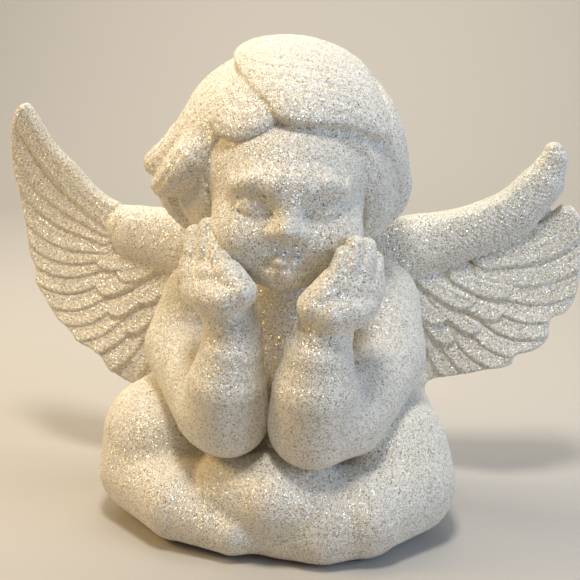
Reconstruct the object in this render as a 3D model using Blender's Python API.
"""Seated cherub figurine: six glued resin castings on hidden pins, with a closing plate and felt pads.

The figure faces -Y and sits on the plane Z = 0. Left and right are the figure's own, so its right side is at -X.
All dimensions are in millimetres and are turned into metres when a mesh is made.
"""

import math

import bmesh
import bpy
from mathutils import Matrix, Vector

MM = 0.001

# Driving dimensions
GLUE_GAP = 0.35  # glue line between two castings
PIN_GAP = 0.3  # glue line round a pin in its hole
PAD_THICKNESS = 1.5
PAD_RADIUS = 7.0
UNDERSIDE_Z = PAD_THICKNESS + 0.3  # the flat cut underside of the seated body
PLATE_THICKNESS = 3.0
PLATE_CENTRE = (0.0, 0.0)
PLATE_SEMI_AXES = (37.0, 28.0)
PLATE_LEDGE = 5.0  # width of the ledge that the plate is glued against
PLUG_RADIUS = 6.0
WING_ROOT_X = 30.0  # the wings leave the back this far from the middle
WING_ROOT_Y = 38.0
WING_SWEEP = math.radians(7.0)
WING_CUP = 6.0  # how far the wing tips curl forwards
WING_SPAN = 120.0
FEATHER_THICKNESS = 6.5

# Forms. A limb is a chain of balls (x, y, z, radius); a lump is (centre, radii).
TORSO = ((2, 17, 84), (49, 35, 47))
NECK = [(2, 12, 114, 26), (4, -4, 134, 21)]
SEAT = ((0, 24, 34), (60, 46, 38))
LAP = ((0, -26, 24), (52, 34, 25))
UNDERSIDE_FILL = ((-3, -2, 13), (77, 62, 21))  # closes the crossed legs down to the flat underside
THIGHS = [[(-38, 22, 42, 34), (-62, -12, 36, 30)], [(38, 22, 40, 34), (52, -12, 36, 30)]]
RIGHT_SHIN = [(-62, -22, 23, 27), (-18, -52, 16, 17)]
LEFT_SHIN = [(47, -30, 26, 29), (0, -50, 21, 22), (-15, -49, 24, 17)]
FACE = ((6, -30, 153), (34, 31, 34))
CHEEKS = [((-11, -40, 142), (19, 18, 17)), ((26, -38, 142), (19, 18, 17))]
CHIN = ((9, -48, 132), (10, 9, 9))
NOSE = ((12, -61, 156), (6, 8, 8))
HAIR_MASS = ((0, -1, 174), (54, 52, 54))
HAIR_LOCKS = [
    [(-12, -28, 209, 12), (10, -23, 214, 16), (34, -13, 200, 15), (44, -8, 178, 12), (44, -12, 156, 9)],
    [(-10, -34, 204, 11), (-30, -28, 192, 12), (-48, -18, 178, 8), (-59, -14, 173, 5)],
    [(-38, -32, 184, 8), (-45, -28, 168, 8), (-40, -26, 160, 6)],
    [(0, -50, 195, 7), (-14, -50, 189, 7), (-27, -42, 184, 6)],
    [(4, -50, 197, 8), (26, -50, 190, 8), (42, -38, 176, 8), (47, -28, 160, 7)],
    [(-30, 26, 190, 18), (-44, 18, 160, 14), (-46, 8, 140, 7)],
    [(0, 40, 186, 16), (-14, 44, 156, 13), (-24, 38, 134, 7)],
    [(10, 42, 184, 16), (12, 44, 152, 13), (4, 40, 132, 7)],
    [(34, 28, 186, 17), (38, 28, 154, 13), (30, 30, 134, 7)],
]
HEAD_HOLLOW = ((2, -4, 172), (40, 38, 40))
BODY_HOLLOW = [((2, 14, 80), (36, 22, 34)), ((0, 6, 32), (40, 28, 32))]


class Arm:
    """One arm casting: upper arm, forearm folded up against it, and a hand that holds the cheek."""

    def __init__(self, name, upper, forearm, palm, fingers, thumb, shoulder_pin, elbow_pin):
        self.name = name
        self.limbs = [upper, forearm, thumb, *fingers]
        self.palm = palm
        self.shoulder_pin = shoulder_pin
        self.elbow_pin = elbow_pin


def row_of_fingers(first, last, lengths, palm_drop=24, radius=4.2):
    """Four fingers side by side, pointing up, from the first fingertip to the last."""
    fingers = []
    for i, length in enumerate(lengths):
        tip = Vector(first).lerp(Vector(last), i / (len(lengths) - 1))
        tip.z += length
        foot = tip - Vector((0, 0, palm_drop))
        fingers.append([(*foot, radius + 0.8), (*tip, radius)])
    return fingers


ARMS = [
    Arm(
        "arm_right",
        upper=[(-42, 6, 104, 21), (-48, -8, 84, 20), (-25, -42, 66, 18)],
        forearm=[(-19, -48, 65, 18.5), (-17, -55, 86, 17), (-21, -59, 106, 12.5)],
        palm=((-27, -51, 126), (9, 13, 17)),
        fingers=row_of_fingers((-20, -57, 145), (-36, -41, 140), (2, 5, 5, 0)),
        thumb=[(-18, -58, 112, 9), (-8, -61, 121, 7)],
        shoulder_pin=((-24, 12, 100), (-50, 2, 96)),
        elbow_pin=((-22, -44, 60), (-24, -38, 38)),
    ),
    Arm(
        "arm_left",
        upper=[(44, 4, 106, 22), (47, -8, 84, 21), (34, -38, 66, 19)],
        forearm=[(20, -49, 64, 20.5), (22, -56, 82, 19), (25, -59, 102, 13)],
        palm=((36, -52, 123), (9, 13, 17)),
        fingers=row_of_fingers((33, -58, 140), (48, -42, 138), (1, 4, 4, 0)),
        thumb=[(27, -58, 110, 9), (19, -61, 118, 7)],
        shoulder_pin=((26, 12, 100), (52, 2, 98)),
        elbow_pin=((22, -44, 56), (24, -38, 34)),
    ),
]


class Wing:
    """One wing casting. Points are (outwards from the root, up) in the wing's own sheet, with a half width."""

    def __init__(self, name, side, arm, primaries, secondaries, coverts, pins):
        self.name = name
        self.side = side
        self.blades = [*primaries, *secondaries, *coverts]
        self.arm = arm
        self.pins = pins


WINGS = [
    Wing(
        "wing_right",
        -1,
        arm=[(-6, 110, 20), (14, 120, 20), (40, 128, 15), (66, 131, 12)],
        primaries=[
            [(66, 132, 11), (88, 148, 13), (106, 172, 10), (116, 188, 6)],
            [(66, 124, 9), (96, 138, 9), (119, 166, 7)],
            [(66, 118, 9), (98, 128, 9), (117, 146, 8)],
            [(64, 112, 9), (96, 117, 9), (114, 128, 8)],
            [(62, 106, 9), (92, 106, 9), (112, 112, 8)],
        ],
        secondaries=[
            [(60, 102, 8), (86, 97, 8), (107, 97, 8)],
            [(56, 98, 8), (80, 90, 8), (98, 85, 8)],
            [(52, 96, 8), (72, 84, 8), (88, 74, 8)],
            [(46, 94, 8), (64, 78, 8), (78, 65, 8)],
            [(40, 92, 8), (56, 72, 8), (68, 57, 8)],
            [(32, 92, 8), (48, 68, 8), (58, 50, 8)],
            [(24, 92, 8), (38, 66, 8), (46, 46, 7)],
        ],
        coverts=[[(20, 104, 16), (44, 98, 12), (60, 98, 9)], [(24, 108, 12), (48, 110, 11), (66, 114, 9)]],
        pins=[((-22, 120), (16, 125)), ((-22, 105), (16, 110))],
    ),
    Wing(
        "wing_left",
        1,
        arm=[(-6, 110, 20), (14, 120, 19), (44, 129, 16), (66, 137, 14), (84, 150, 12), (94, 170, 8)],
        primaries=[
            [(58, 118, 9), (86, 129, 9), (104, 138, 8)],
            [(58, 112, 9), (88, 118, 9), (105, 123, 8)],
            [(58, 106, 9), (86, 106, 9), (104, 108, 8)],
            [(56, 100, 8), (80, 97, 8), (99, 97, 7)],
        ],
        secondaries=[
            [(54, 98, 8), (74, 88, 8), (91, 81, 7)],
            [(48, 96, 8), (66, 82, 8), (81, 76, 7)],
            [(40, 94, 8), (58, 76, 8), (70, 71, 7)],
            [(32, 92, 8), (48, 74, 8), (58, 67, 7)],
            [(24, 92, 8), (38, 70, 8), (46, 62, 7)],
            [(16, 92, 8), (26, 68, 8), (32, 58, 7)],
        ],
        coverts=[[(20, 104, 16), (44, 100, 12), (60, 100, 9)], [(24, 110, 12), (46, 112, 11), (62, 116, 9)]],
        pins=[((-22, 120), (16, 125)), ((-22, 105), (16, 110))],
    ),
]

NECK_DOWEL = ((2, 10, 112), (3, 0, 146))
NECK_DOWEL_RADIUS = 7.0
LIMB_PIN_RADIUS = 2.5
WING_PIN_RADIUS = 2.5
PADS = {
    "felt_pad_right_knee": (-52, -26),
    "felt_pad_left_knee": (48, -30),
    "felt_pad_right_rear": (-30, 31),
    "felt_pad_left_rear": (30, 31),
}

COLOURS = {
    "glitter_resin": ((0.80, 0.74, 0.60), 0.45, 0.3),
    "raw_resin": ((0.78, 0.74, 0.66), 0.7, 0.0),
    "steel_pin": ((0.60, 0.60, 0.62), 0.35, 1.0),
    "wood_dowel": ((0.62, 0.45, 0.28), 0.7, 0.0),
    "felt": ((0.10, 0.20, 0.14), 0.95, 0.0),
    "rubber": ((0.06, 0.06, 0.06), 0.8, 0.0),
}


# Materials


def material(name):
    found = bpy.data.materials.get(name)
    if found:
        return found
    colour, roughness, metallic = COLOURS[name]
    made = bpy.data.materials.new(name)
    made.use_nodes = True
    shader = made.node_tree.nodes["Principled BSDF"]
    shader.inputs["Base Color"].default_value = (*colour, 1)
    shader.inputs["Roughness"].default_value = roughness
    shader.inputs["Metallic"].default_value = metallic
    return made


# Shapes in millimetres, gathered in a bmesh


def add_lump(bm, centre, radii, segments=28):
    matrix = Matrix.Translation(centre) @ Matrix.Diagonal((*radii, 1))
    bmesh.ops.create_uvsphere(bm, u_segments=segments, v_segments=segments // 2, radius=1, matrix=matrix)


def along(start, end):
    """Matrix that stands a shape made about Z, and centred on the origin, between two points."""
    start, end = Vector(start), Vector(end)
    turn = (end - start).to_track_quat("Z", "Y").to_matrix().to_4x4()
    return Matrix.Translation((start + end) / 2) @ turn


def add_limb(bm, balls):
    """Balls joined by tapered rods."""
    for x, y, z, radius in balls:
        add_lump(bm, (x, y, z), (radius,) * 3, 20)
    for first, second in zip(balls, balls[1:]):
        start, end = Vector(first[:3]), Vector(second[:3])
        bmesh.ops.create_cone(
            bm,
            cap_ends=True,
            segments=20,
            radius1=first[3],
            radius2=second[3],
            depth=(end - start).length,
            matrix=along(start, end),
        )


def add_cylinder(bm, start, end, radius, segments=20):
    depth = (Vector(end) - Vector(start)).length
    bmesh.ops.create_cone(
        bm, cap_ends=True, segments=segments, radius1=radius, radius2=radius, depth=depth, matrix=along(start, end)
    )


def add_oval_prism(bm, centre, semi_axes, low, high, segments=40):
    matrix = Matrix.Translation((*centre, (low + high) / 2)) @ Matrix.Diagonal((*semi_axes, 1, 1))
    bmesh.ops.create_cone(
        bm, cap_ends=True, segments=segments, radius1=1, radius2=1, depth=high - low, matrix=matrix
    )


def wing_point(side, out, up, depth=0.0):
    """A point of the wing's sheet in the figurine's frame. The sheet sweeps back and its tip curls forwards."""
    back = depth - WING_CUP * max(0.0, out / WING_SPAN) ** 2
    x = WING_ROOT_X + out * math.cos(WING_SWEEP) - back * math.sin(WING_SWEEP)
    y = WING_ROOT_Y + out * math.sin(WING_SWEEP) + back * math.cos(WING_SWEEP)
    return Vector((side * x, y, up))


def add_blade(bm, side, points, thickness):
    """A flat feather: a chain in the wing's sheet, squashed to the given thickness."""
    sheet = bmesh.new()
    add_limb(sheet, [(out, 0, up, half_width) for out, up, half_width in points])
    widest = max(half_width for _, _, half_width in points)
    for vertex in sheet.verts:
        out, depth, up = vertex.co
        vertex.co = wing_point(side, out, up, depth * thickness / 2 / widest)
    if side < 0:
        bmesh.ops.reverse_faces(sheet, faces=sheet.faces)
    mesh = bpy.data.meshes.new("blade")
    sheet.to_mesh(mesh)
    sheet.free()
    bm.from_mesh(mesh)
    bpy.data.meshes.remove(mesh)


# Objects


def new_object(name, bm, slot):
    bmesh.ops.scale(bm, vec=(MM,) * 3, verts=bm.verts)
    mesh = bpy.data.meshes.new(name)
    bm.to_mesh(mesh)
    bm.free()
    mesh.materials.append(material(slot))
    made = bpy.data.objects.new(name, mesh)
    bpy.context.scene.collection.objects.link(made)
    return made


def helper(obj):
    obj.hide_render = True
    obj.display_type = "WIRE"
    return obj


def blended_form(name, bm, voxel, smoothing, triangles_kept):
    """A helper whose overlapping shapes are welded into one skin, smoothed into each other and thinned out."""
    form = helper(new_object(name + "_form", bm, "raw_resin"))
    remesh = form.modifiers.new("weld", "REMESH")
    remesh.mode = "VOXEL"
    remesh.voxel_size = voxel * MM
    smooth = form.modifiers.new("blend", "SMOOTH")
    smooth.factor = 0.5
    smooth.iterations = smoothing
    thin = form.modifiers.new("thin", "DECIMATE")
    thin.ratio = triangles_kept
    graph = bpy.context.evaluated_depsgraph_get()
    form.data = bpy.data.meshes.new_from_object(form.evaluated_get(graph))
    form.modifiers.clear()
    return form


def grown(form, distance):
    """A helper that stands off the form's skin by a distance, to cut its neighbours clear."""
    bm = bmesh.new()
    bm.from_mesh(form.data)
    bm.normal_update()
    offsets = [vertex.normal * distance * MM for vertex in bm.verts]
    for vertex, offset in zip(bm.verts, offsets):
        vertex.co += offset
    mesh = bpy.data.meshes.new(form.name + "_grown")
    bm.to_mesh(mesh)
    bm.free()
    made = helper(bpy.data.objects.new(mesh.name, mesh))
    bpy.context.scene.collection.objects.link(made)
    return made


def casting(name, form):
    made = bpy.data.objects.new(name, form.data.copy())
    made.data.materials.clear()
    made.data.materials.append(material("glitter_resin"))
    made.data.shade_smooth()
    bpy.context.scene.collection.objects.link(made)
    return made


def cut(obj, cutter):
    modifier = obj.modifiers.new(cutter.name, "BOOLEAN")
    modifier.operation = "DIFFERENCE"
    modifier.solver = "EXACT"
    modifier.object = cutter


def pin(name, start, end, radius, slot, holders):
    """A pin between two castings, and its glued hole in each of them."""
    half = (Vector(end) - Vector(start)).length / 2
    bm = bmesh.new()
    add_cylinder(bm, (0, 0, -half), (0, 0, half), radius)
    made = new_object(name, bm, slot)
    stand = along(start, end)
    made.location = stand.translation * MM
    made.rotation_euler = stand.to_euler()
    bore = bmesh.new()
    reach = (Vector(end) - Vector(start)).normalized() * PIN_GAP
    add_cylinder(bore, Vector(start) - reach, Vector(end) + reach, radius + PIN_GAP)
    cutter = helper(new_object(name + "_hole", bore, "raw_resin"))
    for holder in holders:
        cut(holder, cutter)
    made.data.shade_smooth()
    made.data.set_sharp_from_angle(angle=math.radians(40))
    return made


# The castings' forms


def head_form():
    bm = bmesh.new()
    add_lump(bm, *HAIR_MASS)
    add_lump(bm, *FACE)
    for cheek in CHEEKS:
        add_lump(bm, *cheek)
    add_lump(bm, *CHIN)
    add_lump(bm, *NOSE)
    for lock in HAIR_LOCKS:
        add_limb(bm, lock)
    return blended_form("head", bm, voxel=2.0, smoothing=4, triangles_kept=0.06)


def body_form():
    bm = bmesh.new()
    add_lump(bm, *TORSO)
    add_limb(bm, NECK)
    add_lump(bm, *SEAT)
    add_lump(bm, *LAP)
    add_lump(bm, *UNDERSIDE_FILL)
    for limb in [*THIGHS, RIGHT_SHIN, LEFT_SHIN]:
        add_limb(bm, limb)
    return blended_form("body", bm, voxel=3.0, smoothing=5, triangles_kept=0.075)


def arm_form(arm):
    bm = bmesh.new()
    add_lump(bm, *arm.palm)
    for limb in arm.limbs:
        add_limb(bm, limb)
    return blended_form(arm.name, bm, voxel=1.6, smoothing=4, triangles_kept=0.05)


def wing_form(wing):
    bm = bmesh.new()
    add_blade(bm, wing.side, wing.arm, thickness=22)
    for blade in wing.blades:
        add_blade(bm, wing.side, blade, FEATHER_THICKNESS)
    return blended_form(wing.name, bm, voxel=1.4, smoothing=3, triangles_kept=0.042)


def hollow(name, lumps):
    bm = bmesh.new()
    for lump in lumps:
        add_lump(bm, *lump)
    return blended_form(name, bm, voxel=4.0, smoothing=2, triangles_kept=0.12)


def plate_recess():
    """The recess of the closing plate with the mouth of the hollow above it."""
    bm = bmesh.new()
    clearance = [axis + PIN_GAP for axis in PLATE_SEMI_AXES]
    add_oval_prism(bm, PLATE_CENTRE, clearance, UNDERSIDE_Z - 10, UNDERSIDE_Z + PLATE_THICKNESS + PIN_GAP)
    return helper(new_object("plate_recess", bm, "raw_resin"))


def hollow_mouth():
    bm = bmesh.new()
    mouth = [axis - PLATE_LEDGE for axis in PLATE_SEMI_AXES]
    add_oval_prism(bm, PLATE_CENTRE, mouth, UNDERSIDE_Z - 8, UNDERSIDE_Z + 16)
    return helper(new_object("hollow_mouth", bm, "raw_resin"))


def ground_cutter():
    """Everything below the flat underside."""
    bm = bmesh.new()
    size = 300
    matrix = Matrix.Translation((0, 0, UNDERSIDE_Z - size / 2)) @ Matrix.Diagonal((size, size, size, 1))
    bmesh.ops.create_cube(bm, size=1, matrix=matrix)
    return helper(new_object("below_underside", bm, "raw_resin"))


# Small pieces


def closing_plate():
    bm = bmesh.new()
    add_oval_prism(bm, PLATE_CENTRE, PLATE_SEMI_AXES, UNDERSIDE_Z, UNDERSIDE_Z + PLATE_THICKNESS)
    plate = new_object("base_plate", bm, "raw_resin")
    bore = bmesh.new()
    low, high = UNDERSIDE_Z - 2, UNDERSIDE_Z + PLATE_THICKNESS + 2
    add_cylinder(bore, (*PLATE_CENTRE, low), (*PLATE_CENTRE, high), PLUG_RADIUS + PIN_GAP, 28)
    cut(plate, helper(new_object("vent_hole", bore, "raw_resin")))
    return plate


def vent_plug():
    """A rubber plug: a shank in the plate's vent hole with a barbed lip above the plate."""
    bm = bmesh.new()
    top = UNDERSIDE_Z + PLATE_THICKNESS
    add_cylinder(bm, (*PLATE_CENTRE, UNDERSIDE_Z - 0.3), (*PLATE_CENTRE, top + 1.5), PLUG_RADIUS, 28)
    plug = new_object("vent_plug", bm, "rubber")
    lip = bmesh.new()
    matrix = Matrix.Translation((*PLATE_CENTRE, top + 2.4))
    bmesh.ops.create_cone(
        lip, cap_ends=True, segments=28, radius1=PLUG_RADIUS + 1.2, radius2=PLUG_RADIUS - 1, depth=4, matrix=matrix
    )
    union = plug.modifiers.new("lip", "BOOLEAN")
    union.operation = "UNION"
    union.solver = "EXACT"
    union.object = helper(new_object("plug_lip", lip, "rubber"))
    return plug


def felt_pad(name, centre):
    bm = bmesh.new()
    add_cylinder(bm, (0, 0, 0), (0, 0, PAD_THICKNESS), PAD_RADIUS, 28)
    pad = new_object(name, bm, "felt")
    pad.location = Vector((*centre, 0)) * MM
    return pad


def sheet_line(wing, start, end):
    """The two ends of a wing pin: inside the back, and in the wing's thick root."""
    return wing_point(wing.side, *start), wing_point(wing.side, *end)


def stand_on_centre(nodes):
    """Puts the whole figurine's bounding box centre over the origin."""
    bpy.context.view_layer.update()
    graph = bpy.context.evaluated_depsgraph_get()
    corners = [n.matrix_world @ Vector(c) for n in nodes for c in n.evaluated_get(graph).bound_box]
    low = [min(c[axis] for c in corners) for axis in range(2)]
    high = [max(c[axis] for c in corners) for axis in range(2)]
    figurine = bpy.data.objects.new("figurine", None)
    bpy.context.scene.collection.objects.link(figurine)
    for obj in bpy.context.scene.objects:
        if obj is not figurine:
            obj.parent = figurine
    figurine.location = (-(low[0] + high[0]) / 2, -(low[1] + high[1]) / 2, 0)
    print("centred by", figurine.location[:])


def main():
    for obj in list(bpy.data.objects):
        bpy.data.objects.remove(obj)

    head_shape, body_shape = head_form(), body_form()
    head_grown, body_grown = grown(head_shape, GLUE_GAP), grown(body_shape, GLUE_GAP)

    head = casting("head", head_shape)
    cut(head, hollow("head_hollow", [HEAD_HOLLOW]))
    body = casting("body", body_shape)
    cut(body, head_grown)
    cut(body, ground_cutter())
    cut(body, hollow("body_hollow", BODY_HOLLOW))
    cut(body, plate_recess())
    cut(body, hollow_mouth())

    nodes = [head, body]
    nodes.append(pin("neck_dowel", *NECK_DOWEL, NECK_DOWEL_RADIUS, "wood_dowel", [head, body]))

    for arm in ARMS:
        shape = arm_form(arm)
        made = casting(arm.name, shape)
        cut(made, body_grown)
        cut(made, head_grown)
        side = arm.name.split("_")[1]
        nodes.append(made)
        nodes.append(pin(f"shoulder_pin_{side}", *arm.shoulder_pin, LIMB_PIN_RADIUS, "steel_pin", [made, body]))
        nodes.append(pin(f"elbow_pin_{side}", *arm.elbow_pin, LIMB_PIN_RADIUS, "steel_pin", [made, body]))

    for wing in WINGS:
        made = casting(wing.name, wing_form(wing))
        cut(made, body_grown)
        cut(made, head_grown)
        nodes.append(made)
        side = wing.name.split("_")[1]
        for place, ends in zip(("upper", "lower"), wing.pins):
            name = f"wing_pin_{side}_{place}"
            nodes.append(pin(name, *sheet_line(wing, *ends), WING_PIN_RADIUS, "steel_pin", [made, body]))

    nodes += [closing_plate(), vent_plug()]
    nodes += [felt_pad(name, centre) for name, centre in PADS.items()]
    stand_on_centre(nodes)


main()
